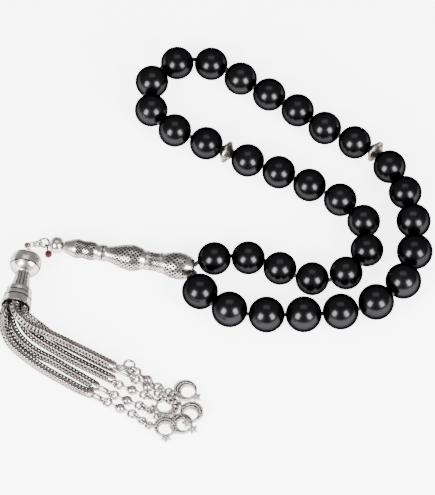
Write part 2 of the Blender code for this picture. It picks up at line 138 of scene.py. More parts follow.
# A socket that can be used in a Python expression
class Signal:
    def __init__(self, tree, socket=None):
        self.tree = tree
        self.socket = socket

    def node(self, kind, settings=None, sockets=None, out=0):
        made = self.tree.nodes.new(kind)
        for key, value in (settings or {}).items():
            setattr(made, key, value)
        for key, value in (sockets or {}).items():
            if isinstance(value, Signal):
                self.tree.links.new(value.socket, made.inputs[key])
            else:
                made.inputs[key].default_value = value
        return Signal(self.tree, made.outputs[out])

    def maths(self, operation, first, second=0.0):
        return self.node("ShaderNodeMath", {"operation": operation}, {0: first, 1: second})

    def __add__(self, other):
        return self.maths("ADD", self, other)

    __radd__ = __add__

    def __mul__(self, other):
        return self.maths("MULTIPLY", self, other)

    __rmul__ = __mul__

    def __sub__(self, other):
        return self.maths("SUBTRACT", self, other)

    def __rsub__(self, other):
        return self.maths("SUBTRACT", other, self)

    def sine(self):
        return self.maths("SINE", self)

    def soft(self, low, high):
        sockets = {"Value": self, "From Min": low, "From Max": high}
        return self.node("ShaderNodeMapRange", {"interpolation_type": "SMOOTHSTEP"}, sockets)

    def along(self, direction):
        sockets = {0: self, 1: tuple(direction)}
        return self.node("ShaderNodeVectorMath", {"operation": "DOT_PRODUCT"}, sockets, "Value")

    def blend(self, first, second):
        # a colour mix has its factor at 0, its colours at 6 and 7, and its result at 2
        return self.node("ShaderNodeMix", {"data_type": "RGBA"}, {0: self, 6: first, 7: second}, 2)

    def noise(self, scale, detail=2.0, roughness=0.5):
        sockets = {"Vector": self, "Scale": scale, "Detail": detail, "Roughness": roughness}
        return self.node("ShaderNodeTexNoise", {}, sockets, "Fac")

    def cells(self, scale):
        sockets = {"Vector": self, "Scale": scale}
        return self.node("ShaderNodeTexVoronoi", {"feature": "F1"}, sockets, "Distance")


def newMaterial(name):
    made = bpy.data.materials.new(name)
    made.use_nodes = True
    shader = made.node_tree.nodes["Principled BSDF"]
    place = Signal(made.node_tree).node("ShaderNodeTexCoord", {}, {}, "Object")
    return made, shader, place


def feed(shader, settings):
    tree = shader.id_data
    for key, value in settings.items():
        if isinstance(value, Signal):
            tree.links.new(value.socket, shader.inputs[key])
        else:
            shader.inputs[key].default_value = value


def bumped(height, strength, distance):
    sockets = {"Height": height, "Strength": strength, "Distance": distance}
    return height.node("ShaderNodeBump", {}, sockets, "Normal")


def makeBlackGlass():
    made, shader, place = newMaterial("black onyx")
    cloud = place.noise(90.0, 3.0)
    fine = place.noise(2600.0, 2.0)
    tone = cloud.soft(0.3, 0.8).blend((0.015, 0.015, 0.016, 1.0), (0.020, 0.020, 0.021, 1.0))
    rough = cloud * 0.05 + 0.19 + fine * 0.03
    feed(shader, {"Base Color": tone, "Metallic": 1.0, "Roughness": rough,
                  "Specular Tint": (0.25, 0.25, 0.25, 1.0), "Normal": bumped(fine, 0.02, 0.0001)})
    return made


def makeSilver(name, bright, dark, rough, tarnish):
    made, shader, place = newMaterial(name)
    patches = place.noise(260.0, 4.0, 0.6)
    streaks = place.noise(1700.0, 3.0, 0.6)
    mask = patches.soft(0.42, 0.78) * tarnish
    tone = mask.blend((*bright, 1.0), (*dark, 1.0))
    feed(shader, {"Base Color": tone, "Metallic": 1.0, "Specular Tint": silverTint,
                  "Roughness": patches * 0.14 + streaks * 0.07 + rough,
                  "Normal": bumped(streaks, 0.12, 0.00006)})
    return made


def makePave():
    made, shader, place = newMaterial("pave silver")
    stones = place.cells(1500.0)
    # Painted sparkle and shade: each stone's centre is lighter as a painted glint, and its rim darker as
    # painted shade between the stones; the cells also set roughness and bumps.
    mask = stones.soft(0.25, 0.6)
    tone = mask.blend((0.17, 0.148, 0.145, 1.0), (0.03, 0.024, 0.023, 1.0))
    feed(shader, {"Base Color": tone, "Metallic": 1.0, "Specular Tint": silverTint,
                  "Roughness": stones * 0.3 + 0.16, "Normal": bumped(1.0 - stones, 0.5, 0.0002)})
    return made


# Painted shade: a near-black finish for lattice hole floors, grooves, flutes and chain cores, standing in for
# the shade inside them; a noise varies it at random.
def makeHollowShade():
    made, shader, place = newMaterial("painted hollow shade")
    mottle = place.noise(1500.0, 3.0)
    tone = mottle.soft(0.3, 0.7).blend((0.006, 0.005, 0.005, 1.0), (0.03, 0.025, 0.023, 1.0))
    feed(shader, {"Base Color": tone, "Metallic": 0.3, "Roughness": mottle * 0.2 + 0.5,
                  "Specular IOR Level": 0.2, "Normal": bumped(mottle, 0.2, 0.0001)})
    return made


def makeCordMaterial(name, bright, dark, pitch):
    made, shader, place = newMaterial(name)
    lay = (place.along((1.0, 0.6, 0.5)) * (turn / pitch)).sine() * 0.5 + 0.5
    fuzz = place.noise(4200.0, 3.0)
    # The twist's grooves are darker as painted shade, and the fuzz varies the tone at random; the lay also
    # sets the bumps.
    tone = (lay * 0.7 + fuzz * 0.3).blend((*dark, 1.0), (*bright, 1.0))
    feed(shader, {"Base Color": tone, "Roughness": fuzz * 0.2 + 0.6, "Specular IOR Level": 0.25,
                  "Normal": bumped(lay + fuzz * 0.4, 0.6, 0.00015)})
    return made


def makeFloorMaterial():
    made, shader, place = newMaterial("white table")
    tone = place.noise(6.0, 2.0).blend((0.90, 0.90, 0.90, 1.0), (0.94, 0.94, 0.94, 1.0))
    feed(shader, {"Base Color": tone, "Roughness": 0.9, "Specular IOR Level": 0.1,
                  "Emission Color": (1.0, 1.0, 1.0, 1.0), "Emission Strength": 4.5})
    return made


blackGlass = makeBlackGlass()
silver = makeSilver("polished silver", (0.385, 0.35, 0.345), (0.14, 0.118, 0.114), 0.16, 0.75)
brightSilver = makeSilver("bright silver", (0.48, 0.44, 0.435), (0.19, 0.163, 0.158), 0.14, 0.7)
agedSilver = makeSilver("aged silver", (0.22, 0.20, 0.17), (0.08, 0.068, 0.055), 0.2, 0.9)
chainSilver = makeSilver("woven silver", (0.22, 0.19, 0.186), (0.085, 0.066, 0.063), 0.2, 0.9)
hollowShade = makeHollowShade()
pave = makePave()
blackCord = makeCordMaterial("black cord", (0.03, 0.028, 0.028), (0.004, 0.004, 0.004), 0.0012)
roseThread = makeCordMaterial("rose thread", (0.5, 0.27, 0.24), (0.2, 0.09, 0.08), 0.0006)
brownThread = makeCordMaterial("brown thread", (0.16, 0.075, 0.055), (0.03, 0.014, 0.011), 0.0006)
garnetThread = makeCordMaterial("garnet thread", (0.09, 0.005, 0.012), (0.02, 0.001, 0.003), 0.0007)
print("materials made")


# Tools for shaping

def fresh():
    if bpy.context.mode != "OBJECT":
        bpy.ops.object.mode_set(mode="OBJECT")
    bpy.ops.object.select_all(action="DESELECT")


def only(obj):
    fresh()
    obj.select_set(True)
    bpy.context.view_layer.objects.active = obj


def start(name, *finishes):
    obj = bpy.context.object
    obj.name = name
    for finish in finishes:
        obj.data.materials.append(finish)
    return obj


def bake(obj):
    only(obj)
    bpy.ops.object.transform_apply(location=True, rotation=True, scale=True)


def applyModifier(obj, kind, **settings):
    only(obj)
    added = obj.modifiers.new("shape", kind)
    for key, value in settings.items():
        setattr(added, key, value)
    bpy.ops.object.modifier_apply(modifier=added.name)


# The test gets a face's centre, normal and index.
def pickFaces(obj, test):
    bpy.ops.object.mode_set(mode="EDIT")
    bpy.ops.mesh.select_mode(type="FACE")
    bpy.ops.mesh.select_all(action="DESELECT")
    bpy.ops.object.mode_set(mode="OBJECT")
    for face in obj.data.polygons:
        face.select = bool(test(face.center, face.normal, face.index))
    bpy.ops.object.mode_set(mode="EDIT")


def pickPoints(obj, test):
    bpy.ops.object.mode_set(mode="EDIT")
    bpy.ops.mesh.select_mode(type="VERT")
    bpy.ops.mesh.select_all(action="DESELECT")
    bpy.ops.object.mode_set(mode="OBJECT")
    for point in obj.data.vertices:
        point.select = bool(test(point.co))
    bpy.ops.object.mode_set(mode="EDIT")


def smooth(obj, angle=40.0):
    only(obj)
    bpy.ops.object.shade_smooth_by_angle(angle=math.radians(angle))


# Bridges the two open ends of a turned shape.
def joinLoops():
    bpy.ops.mesh.select_mode(type="EDGE")
    bpy.ops.mesh.select_all(action="DESELECT")
    bpy.ops.mesh.select_non_manifold(extend=False, use_wire=False, use_multi_face=False,
                                     use_non_contiguous=False, use_verts=False)
    bpy.ops.mesh.bridge_edge_loops()


def editEdges():
    bpy.ops.object.mode_set(mode="EDIT")
    bpy.ops.mesh.select_mode(type="EDGE")


def raiseBy(height):
    bpy.ops.mesh.extrude_region_move(TRANSFORM_OT_translate={"value": (0.0, 0.0, height)})


def faceOutwards():
    bpy.ops.mesh.select_all(action="SELECT")
    bpy.ops.mesh.normals_make_consistent(inside=False)


# Turns an outline of (height, radius) points round Z.
def turnShape(name, outline, sides, *finishes):
    fresh()
    place, radius = outline[0]
    bpy.ops.mesh.primitive_circle_add(vertices=sides, radius=radius * mm,
                                      location=(0.0, 0.0, place * mm))
    obj = start(name, *finishes)
    editEdges()
    bpy.ops.mesh.select_all(action="SELECT")
    for (lowPlace, lowRadius), (highPlace, highRadius) in zip(outline, outline[1:]):
        raiseBy((highPlace - lowPlace) * mm)
        ratio = highRadius / lowRadius
        bpy.ops.transform.resize(value=(ratio, ratio, 1.0), center_override=(0.0, 0.0, highPlace * mm))
    joinLoops()
    faceOutwards()
    bake(obj)
    return obj


# Adds points between two heights of an outline, so that its faces there are about square.
def denser(outline, low, high, step):
    found = [outline[0]]
    for (a, ra), (b, rb) in zip(outline, outline[1:]):
        if a >= low - 0.01 and b <= high + 0.01 and b - a > step:
            count = max(1, round((b - a) / step))
            for k in range(1, count):
                found.append((a + (b - a) * k / count, ra + (rb - ra) * k / count))
        found.append((b, rb))
    return found


# The faces that point away from Z, between two heights and past a radius, all in metres
def outerFaces(low, high, least=0.0):
    return lambda c, n, i: (low < c.z < high and n.x * c.x + n.y * c.y > 0
                            and math.hypot(c.x, c.y) > least)


# Gives the picked faces one of the piece's own materials.
def assignSlot(obj, slot):
    obj.active_material_index = slot
    bpy.ops.object.material_slot_assign()
    fresh()


# Moves a shape that stands on the origin along Z to its own spot and axis.
def layAlong(obj, spot, axis, across=None):
    along = axis.normalized()
    side = across or (up.cross(along) if abs(along.z) < 0.9 else Vector((1.0, 0.0, 0.0)))
    side = (side - along * side.dot(along)).normalized()
    other = along.cross(side)
    turned = Matrix((side, other, along)).transposed().to_4x4()
    turned.translation = spot
    obj.data.transform(turned)
    obj.data.update()
    return obj


def copyOf(model, name):
    obj = bpy.data.objects.new(name, model.data.copy())
    bpy.context.scene.collection.objects.link(obj)
    return obj


def finishPiece(obj, body, slotName, *nodes):
    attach(obj, body)
    if nodes:
        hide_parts(*nodes)


# A smooth curve through every point of a route
def smoothRoute(route, steps):
    whole = [2 * route[0] - route[1], *route, 2 * route[-1] - route[-2]]
    found = []
    for before, first, last, after in zip(whole, whole[1:], whole[2:], whole[3:]):
        for k in range(steps):
            t = k / steps
            square = 2 * before - 5 * first + 4 * last - after
            cube = 3 * first - before - 3 * last + after
            found.append(0.5 * (2 * first + (last - before) * t + square * t * t + cube * t * t * t))
    return [*found, route[-1].copy()]


def curveOf(name, points, thickness=0.0):
    data = bpy.data.curves.new(name, "CURVE")
    data.dimensions = "3D"
    data.twist_mode = "MINIMUM"
    line = data.splines.new("POLY")
    line.points.add(len(points) - 1)
    for point, spot in zip(line.points, points):
        point.co = (*spot, 1.0)
    data.bevel_depth = thickness
    data.bevel_resolution = 3
    data.use_fill_caps = True
    obj = bpy.data.objects.new(name, data)
    bpy.context.scene.collection.objects.link(obj)
    return obj


def meshOf(curve, finish):
    curve.data.materials.append(finish)
    only(curve)
    bpy.ops.object.convert(target="MESH")
    smooth(bpy.context.object, 60.0)
    return bpy.context.object


def levelWay(first, last):
    way = last - first
    way.z = 0.0
    return way.normalized()


def lengthOf(points):
    return sum((b - a).length for a, b in zip(points, points[1:]))


# The cord

cordSize = dict(thickness=0.0012, corner=2.2, cornerSteps=5)  # the thickness is in metres
cordRoute = [  # from one end in the leader's mouth, round the loop, to the other
    (-11.5, -7.25, 4.1), (-6.9, -8.15, 4.2), (-5.9, -7.1, 5.0), (4.0, -4.8, 5.0), (14.3, -6.6, 5.0),
    (22.8, -12.2, 5.0), (33.4, -13.9, 5.0), (42.9, -8.2, 5.0), (45.9, 2.4, 5.0), (41.2, 12.2, 5.0),
    (32.0, 17.7, 5.0), (23.0, 22.7, 5.0), (13.7, 26.9, 5.0), (4.4, 31.2, 5.0), (1.2, 32.8, 5.0),
    (-7.9, 37.6, 5.0), (-17.7, 42.1, 5.0), (-22.1, 52.3, 5.0), (-17.4, 62.6, 5.0), (-6.9, 66.0, 5.0),
    (3.1, 62.0, 5.0), (10.9, 55.2, 5.0), (20.2, 50.5, 5.0), (28.0, 43.7, 5.0), (36.4, 37.7, 5.0),
    (45.9, 33.4, 5.0), (48.7, 31.1, 5.0), (54.3, 22.4, 5.0), (57.8, 12.7, 5.1), (59.0, 1.9, 5.4),
    (58.2, -9.3, 5.4), (52.0, -18.9, 5.4), (41.9, -24.1, 5.4), (31.0, -25.7, 5.4), (20.0, -26.0, 5.4),
    (9.0, -25.9, 5.4), (-1.9, -22.3, 5.4), (-8.5, -13.3, 5.4), (-8.9, -12.7, 5.2), (-6.2, -11.4, 4.7),
    (-7.3, -9.5, 4.15), (-11.75, -8.65, 4.1),
]


# Rounds each corner of a route, over no more than 45% of the run on either side of it.
def easedRoute(route, ease, steps):
    points = [route[0]]
    for before, corner, after in zip(route, route[1:], route[2:]):
        first = corner + (before - corner).normalized() * min(ease, (before - corner).length * 0.45)
        last = corner + (after - corner).normalized() * min(ease, (after - corner).length * 0.45)
        for k in range(steps + 1):
            t = k / steps
            points.append(first * (1 - t) ** 2 + corner * 2 * t * (1 - t) + last * t ** 2)
    return [*points, route[-1]]


def makeCord():
    points = easedRoute([Vector(spot) * mm for spot in cordRoute], cordSize["corner"] * mm,
                        cordSize["cornerSteps"])
    cord = curveOf("beadCord", points, cordSize["thickness"] / 2)
    cord.data.materials.append(blackCord)
    finishPiece(cord, "string", "cord", "bead_cord")
    lengthOf(points)


makeCord()
print("cord made")


# The floor

floorSize = dict(side=6.0, drop=0.2)  # the side is in metres, and the drop leaves room for the weave
fresh()
bpy.ops.mesh.primitive_plane_add(size=floorSize["side"],
                                 location=(0.0, 0.0, cadLow[2] - floorSize["drop"] * mm))
floor = start("floor", makeFloorMaterial())
bake(floor)
floor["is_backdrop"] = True
print("floor made")


# Beads. Their model has a radius of 1, so these sizes are parts of the radius, and mouth is in radians.

bead = dict(count=33, rings=28, segments=48, mouth=0.192, lip=0.035, lipDepth=0.01, wall=0.01,
            depth=0.09, twist=1.7)
joints = {joint["child"]: joint for joint in frame["record"]["behaviour"]["joints"]}


def hingeOf(body):
    return Vector(joints[body]["pos_m"]), Vector(joints[body]["axis"])


def makeBeadModel():
    fresh()
    bpy.ops.mesh.primitive_uv_sphere_add(segments=bead["segments"], ring_count=bead["rings"], radius=1.0)
    model = start("beadModel", blackGlass)
    for end in (-1.0, 1.0):
        only(model)
        pickPoints(model, lambda p: p.z * end > math.cos(bead["mouth"]))
        bpy.ops.mesh.select_mode(type="FACE")
        bpy.ops.mesh.dissolve_faces()
        bpy.ops.mesh.inset(thickness=bead["lip"], depth=-bead["lipDepth"])
        bpy.ops.mesh.inset(thickness=bead["wall"], depth=-bead["depth"])
        fresh()
    smooth(model, 50.0)
    return model


beadModel = makeBeadModel()
for number in range(1, bead["count"] + 1):
    name = f"bead_{number:02d}"
    centre, axis = hingeOf(name)
    low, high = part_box(name)
    radius = (high[2] - low[2]) / 2
    made = copyOf(beadModel, f"bead{number:02d}")
    made.data.transform(Matrix.Scale(radius, 4) @ Matrix.Rotation(number * bead["twist"], 4, "Z"))
    finishPiece(layAlong(made, centre, axis), name, "beads", name)
print("beads made")


# Pierced work

# Cuts a band of a turned shape into diamonds, and sinks each into a hole whose dark floor is painted shade.
def lattice(obj, low, high, inset, depth, least, bulge=0.0):
    least = least * mm
    only(obj)
    pickFaces(obj, outerFaces(low * mm, high * mm, least))
    count = len(obj.data.vertices)
    bpy.ops.mesh.poke(offset=bulge * mm)
    bpy.ops.mesh.select_mode(type="EDGE")
    bpy.ops.mesh.select_all(action="DESELECT")
    bpy.ops.object.mode_set(mode="OBJECT")
    heights = [p.co.z for p in obj.data.vertices[count:]]
    bottom, top = min(heights), max(heights)
    for edge in obj.data.edges:  # the old square edges go, and the poked diagonals stay
        first, last = (obj.data.vertices[k].co for k in edge.vertices)
        middle = (first + last) / 2
        edge.select = (max(edge.vertices) < count and bottom - 1e-6 < middle.z < top + 1e-6
                       and math.hypot(middle.x, middle.y) > least)
    bpy.ops.object.mode_set(mode="EDIT")
    bpy.ops.mesh.dissolve_edges(use_verts=False)
    band = outerFaces(bottom - 0.12 * mm, top + 0.12 * mm, least)
    pickFaces(obj, lambda c, n, i: band(c, n, i) and len(obj.data.polygons[i].vertices) == 4)
    bpy.ops.mesh.inset(thickness=inset * mm, depth=0.0, use_individual=True)
    bpy.ops.mesh.inset(thickness=0.04 * mm, depth=-depth * mm, use_individual=True)
    assignSlot(obj, 1)


# Gives a band of faces the piece's second material, the painted shade of a groove.
def groove(obj, low, high, least=0.0):
    only(obj)
    pickFaces(obj, outerFaces(low * mm, high * mm, least * mm))
    assignSlot(obj, 1)


def mouldEdges(obj, width, angle):
    applyModifier(obj, "BEVEL", width=width * mm, segments=2, limit_method="ANGLE",
                  angle_limit=math.radians(angle))


dividerSides = 20
dividerOutline = [
    (-1.7, 1.0), (-1.7, 1.5), (-1.5, 1.7), (-0.95, 2.35), (-0.42, 2.9), (-0.36, 3.3), (-0.2, 3.42),
    (0.2, 3.42), (0.36, 3.3), (0.42, 2.9), (0.95, 2.35), (1.5, 1.7), (1.7, 1.5), (1.7, 1.0),
]


def makeDividerModel():
    model = turnShape("dividerModel", dividerOutline, dividerSides, agedSilver, hollowShade)
    for low, high in ((-1.5, -0.42), (0.42, 1.5)):
        lattice(model, low, high, inset=0.05, depth=0.3, least=1.6)
    smooth(model, 30.0)
    return model


dividerModel = makeDividerModel()
for number in (1, 2):
    name = f"divider_{number}"
    centre, axis = hingeOf(name)
    made = layAlong(copyOf(dividerModel, f"divider{number}"), centre, axis)
    finishPiece(made, name, "silver", name)


leaderSize = dict(mouth=(-7.2, -8.85, 4.1), tail=(-45.6, -1.0, 4.1), cavity=2.15, depth=6.0, cone=1.5,
                  bore=0.75, sides=18)
leaderOutline = [
    (0, 2.55), (1, 3.25), (2.6, 3.85), (4.6, 4.1), (6.4, 3.85), (8, 3.35), (9.3, 2.95), (9.5, 3.1),
    (10.1, 3.1), (10.3, 2.85), (12, 2.75), (13.4, 2.85), (13.6, 3.0), (14.2, 3.0), (14.5, 2.7),
    (16, 3.45), (18.6, 4.0), (21.2, 3.6), (24, 2.7), (26.1, 2.2), (26.6, 2.5), (27.2, 2.5), (27.3, 2.3),
    (27.5, 2.3), (27.6, 2.5), (28.2, 2.5), (28.9, 2.2), (30.1, 2.75), (31.5, 2.9), (33.3, 2.6),
    (35.1, 2.95), (36.3, 2.75), (37.9, 2.1), (39.15, 1.6),
]
leaderMouth = Vector(leaderSize["mouth"]) * mm
leaderTail = Vector(leaderSize["tail"]) * mm


def makeLeader():
    size = leaderSize
    outline = leaderOutline
    for low, high, step in ((0.0, 9.3, 1.3), (10.3, 13.4, 1.05), (14.5, 26.1, 1.3), (28.9, 36.3, 0.95)):
        outline = denser(outline, low, high, step)
    outline += [(outline[-1][0], size["bore"]), (size["depth"] + size["cone"], size["bore"]),
                (size["depth"], size["cavity"]), (0.0, size["cavity"])]
    leader = turnShape("leader", outline, size["sides"], silver, hollowShade)
    for low, high, inset, least in ((0.9, 9.3, 0.15, 2.3), (10.3, 13.4, 0.1, 1.5),
                                    (14.5, 26.1, 0.15, 1.5), (28.9, 36.3, 0.09, 1.5)):
        lattice(leader, low, high, inset, depth=0.45, least=least, bulge=0.04)
    groove(leader, 27.2, 27.6)
    smooth(leader, 32.0)
    layAlong(leader, leaderMouth, leaderTail - leaderMouth)
    finishPiece(leader, "string", "silver", "leader_bead")


makeLeader()
print("dividers and leader made")


# Small metal parts

fresh()
bpy.ops.mesh.primitive_uv_sphere_add(segments=32, ring_count=20, radius=1.0)
ballModel = start("ballModel", silver)
smooth(ballModel, 60.0)
fresh()
bpy.ops.mesh.primitive_cylinder_add(vertices=20, radius=1.0, depth=1.0, location=(0.0, 0.0, 0.5))
rodModel = start("rodModel", silver)
bake(rodModel)
smooth(rodModel, 50.0)


def ringPiece(name, centre, normal, major, wire, finish=silver, steps=40, sides=14, stretch=1.0,
              across=None):
    fresh()
    bpy.ops.mesh.primitive_torus_add(major_radius=major, minor_radius=wire, major_segments=steps,
                                     minor_segments=sides)
    made = start(name, finish)
    smooth(made, 60.0)
    made.data.transform(Matrix.Diagonal((stretch, 1.0, 1.0, 1.0)))
    return layAlong(made, centre, normal, across)


def ballPiece(name, centre, radius, finish=silver, squash=1.0, axis=up):
    made = copyOf(ballModel, name)
    made.data.materials[0] = finish
    made.data.transform(Matrix.Diagonal((radius, radius, radius * squash, 1.0)))
    return layAlong(made, centre, axis)


def rodPiece(name, first, last, radius, finish=silver):
    made = copyOf(rodModel, name)
    made.data.materials[0] = finish
    made.data.transform(Matrix.Diagonal((radius, radius, (last - first).length, 1.0)))
    return layAlong(made, first, last - first)


def joined(name, pieces):
    fresh()
    for piece in pieces:
        piece.select_set(True)
    bpy.context.view_layer.objects.active = pieces[0]
    if len(pieces) > 1:
        bpy.ops.object.join()
    pieces[0].name = name
    return pieces[0]


# Tip bead, end loop, hanger and knots

tipSides = 40
tipOutline = [
    (-1.95, 0.75), (-1.95, 1.3), (-1.8, 1.5), (-1.55, 1.9), (-1.1, 2.25), (-0.6, 2.44), (0.0, 2.5),
    (0.6, 2.44), (1.1, 2.25), (1.55, 1.9), (1.8, 1.5), (1.95, 1.3), (1.95, 0.75),
]
loop = dict(centre=(-51.55, 0.2, 4.1), major=1.5, wire=0.35, pin=0.45, pinStart=12.0, neck=0.6)
hangerSize = dict(major=1.25, wire=0.35, away=1.95, linkNear=2.45, linkFar=5.1, half=0.75, lift=0.35,
                  thread=0.11, steps=12, twist=0.9, knot=0.85, knotThread=0.2)
capSize = dict(top=(-56.3, -3.7, 4.75), axis=(-0.176, -0.984, 0.0), sides=48, eye=1.2, eyeWire=0.35,
               eyeOff=1.8, innerEye=1.1, innerAt=16.0, ringMajor=1.3, ringAt=17.6, pin=0.45, rim=19.5,
               collar=0.95, fluteInset=0.05, fluteDepth=0.14)
knotSize = dict(centre=(-50.3, -1.9, 1.25), radius=1.1, turnThread=0.26, stem=0.25, collar=0.75,
                collarThread=0.2)

capTop = Vector(capSize["top"]) * mm
capAxis = Vector(capSize["axis"]).normalized()
loopCentre = Vector(loop["centre"]) * mm


def makeTip():
    centre, axis = hingeOf("tip_bead")
    made = turnShape("tipBead", tipOutline, tipSides, brightSilver, hollowShade)
    smooth(made, 35.0)
    finishPiece(layAlong(made, centre, axis), "tip_bead", "silver", "tip_bead")
    away = (leaderTail - leaderMouth).normalized()
    near = loopCentre - away * loop["major"] * mm
    near.z = loopCentre.z  # the loop lies level
    parts = [ringPiece("endLoop", loopCentre, up, loop["major"] * mm, loop["wire"] * mm, silver, 56, 16),
             rodPiece("loopPin", leaderMouth + away * loop["pinStart"] * mm, near, loop["pin"] * mm),
             ballPiece("loopNeck", near - away * 0.15 * mm, loop["neck"] * mm, silver, 0.7, away)]
    finishPiece(joined("tipLoop", parts), "string", "silver", "tip_loop")


# A knot: three sets of three turns of thread, each square to the others, round a core
def wound(name, centre, radius, thread, finish):
    parts = []
    for k, normal in enumerate(((1, 0.1, 0), (0, 1, 0.15), (0.1, 0, 1))):
        for shift in (-0.42, 0.0, 0.42):
            side = Vector(normal).normalized()
            reach = math.sqrt(1 - shift * shift) * (radius - thread)
            parts.append(ringPiece(f"turn{k}", centre + side * shift * radius, side, reach, thread,
                                   finish, 28, 10))
    parts.append(ballPiece("core", centre, radius * 0.85, finish))
    return joined(name, parts)


def makeKnot():
    centre = Vector(knotSize["centre"]) * mm
    out = levelWay(loopCentre, centre)
    wire = loopCentre + out * loop["major"] * mm
    collar = ringPiece("collar", wire, up.cross(out), knotSize["collar"] * mm,
                       knotSize["collarThread"] * mm, garnetThread, 32)
    first = wire + Vector((0.3, -0.5, -1.0)).normalized() * knotSize["collar"] * mm
    stem = rodPiece("stem", first, centre, knotSize["stem"] * mm, garnetThread)
    ball = wound("knot", centre, knotSize["radius"] * mm, knotSize["turnThread"] * mm, garnetThread)
    finishPiece(joined("garnetKnot", [ball, stem, collar]), "red_knot", "garnet", "red_knot")


def makeHanger():
    size = hangerSize
    target = capTop - capAxis * (capSize["eyeOff"] + capSize["eye"]) * mm
    ahead = levelWay(loopCentre, target)
    side = up.cross(ahead)
    ring = ringPiece("hangerRing", loopCentre + ahead * size["away"] * mm, side, size["major"] * mm,
                     size["wire"] * mm)
    finishPiece(ring, "hanger_ring", "silver", "hanger_ring")
    lift = up * size["lift"] * mm
    half = size["half"] * mm
    near = loopCentre + ahead * (size["linkNear"] * mm + half) + lift
    far = loopCentre + ahead * (size["linkFar"] * mm - half) + lift
    points = []
    for middle, begin in ((near, math.pi / 2), (far, -math.pi / 2)):
        for k in range(size["steps"] + 1):
            angle = begin + math.pi * k / size["steps"]
            points.append(middle + (ahead * math.cos(angle) + side * math.sin(angle)) * half)
    parts = []
    for k in range(2):  # two threads twisted round each other
        strandPoints = []
        for n, point in enumerate(points):
            twist = n * size["twist"] + k * math.pi
            out = (point - (near + far) / 2).normalized()
            strandPoints.append(point + (out * math.cos(twist) + up * math.sin(twist)) * size["thread"] * mm)
        loopCurve = curveOf("thread", strandPoints, size["thread"] * mm * 1.05)
        loopCurve.data.splines[0].use_cyclic_u = True
        parts.append(meshOf(loopCurve, roseThread))
    parts.append(wound("capKnot", far + ahead * half * 1.2 + up * 0.1 * mm, size["knot"] * mm,
                       size["knotThread"] * mm, brownThread))
    finishPiece(joined("hangerThread", parts), "hanger_thread", "thread", "hanger_thread")


# The tassel's cap

capOutline = [
    (0, 1.3), (0.15, 1.9), (0.5, 2.7), (0.72, 3.05), (0.8, 2.9), (1.02, 3.2), (1.06, 3.52), (1.5, 4.0),
    (2.0, 4.33), (2.08, 4.08), (2.36, 4.18), (2.42, 4.52), (2.7, 4.6), (3.3, 4.68), (3.9, 4.7),
    (4.5, 4.65), (5.1, 4.55), (5.2, 4.25), (5.42, 4.2), (5.5, 4.4), (5.9, 4.15), (6.3, 3.9), (6.8, 3.4),
    (7.2, 2.7), (7.35, 2.35), (7.6, 2.15), (7.9, 2.17), (10.5, 2.45), (13.0, 2.9), (13.2, 3.2),
    (13.4, 3.75), (13.7, 3.82), (14.6, 3.85), (14.9, 3.78), (14.95, 3.4), (15.4, 3.4), (15.45, 4.1),
    (15.8, 4.18), (16.6, 4.2), (16.68, 3.95), (17.02, 3.95), (17.1, 4.25), (18.3, 4.42), (19.1, 4.62),
    (19.35, 4.7), (19.5, 4.66),
    (19.5, 4.3), (17.2, 3.8), (14.2, 3.0), (14.0, 0.75), (0, 0.75),  # the inside, back up to the top
]


def makeCap():
    sides = capSize["sides"]
    cap = turnShape("tasselCap", capOutline, sides, brightSilver, hollowShade, chainSilver)
    for low, high, least in ((0.73, 1.05, 2.5), (2.01, 2.41, 3.5), (5.11, 5.49, 3.5), (14.91, 15.44, 3.2),
                             (16.61, 17.09, 3.8)):
        groove(cap, low, high, least)
    only(cap)
    pickFaces(cap, lambda c, n, i: n.x * c.x + n.y * c.y < 0 and math.hypot(c.x, c.y) > 1.5 * mm)
    assignSlot(cap, 2)
    column = outerFaces(7.95 * mm, 13.0 * mm)
    only(cap)
    pickFaces(cap, lambda c, n, i: column(c, n, i)
              and round(math.atan2(c.y, c.x) / (turn / sides) - 0.5) % 3 == 0)  # every third is a flute
    # The flutes are sunk, and their faces get the painted shade.
    bpy.ops.mesh.inset(thickness=capSize["fluteInset"] * mm, depth=-capSize["fluteDepth"] * mm,
                       use_individual=True)
    assignSlot(cap, 1)
    smooth(cap, 35.0)
    finishPiece(layAlong(cap, capTop, capAxis), "cap", "silver", "tassel_cap")
    side = up.cross(capAxis)
    top = capTop - capAxis * capSize["eyeOff"] * mm
    inner = capTop + capAxis * capSize["innerAt"] * mm
    eye, wire = capSize["eye"] * mm, capSize["eyeWire"] * mm
    parts = [ringPiece("upperEye", top, side, eye, wire),
             ringPiece("lowerEye", inner, side, capSize["innerEye"] * mm, wire),
             rodPiece("pin", top + capAxis * eye, inner - capAxis * capSize["innerEye"] * mm,
                      capSize["pin"] * mm),
             ballPiece("collar", capTop - capAxis * 0.1 * mm, capSize["collar"] * mm, silver, 0.45,
                       capAxis)]
    finishPiece(joined("eyePin", parts), "cap", "silver", "eye_pin")
    ring = ringPiece("chainRing", capTop + capAxis * capSize["ringAt"] * mm, up,
                     capSize["ringMajor"] * mm, wire)
    finishPiece(ring, "cap", "silver", "chain_ring")


makeTip()
makeKnot()
makeHanger()
makeCap()
print("tip, hanger and cap made")


# The woven chains

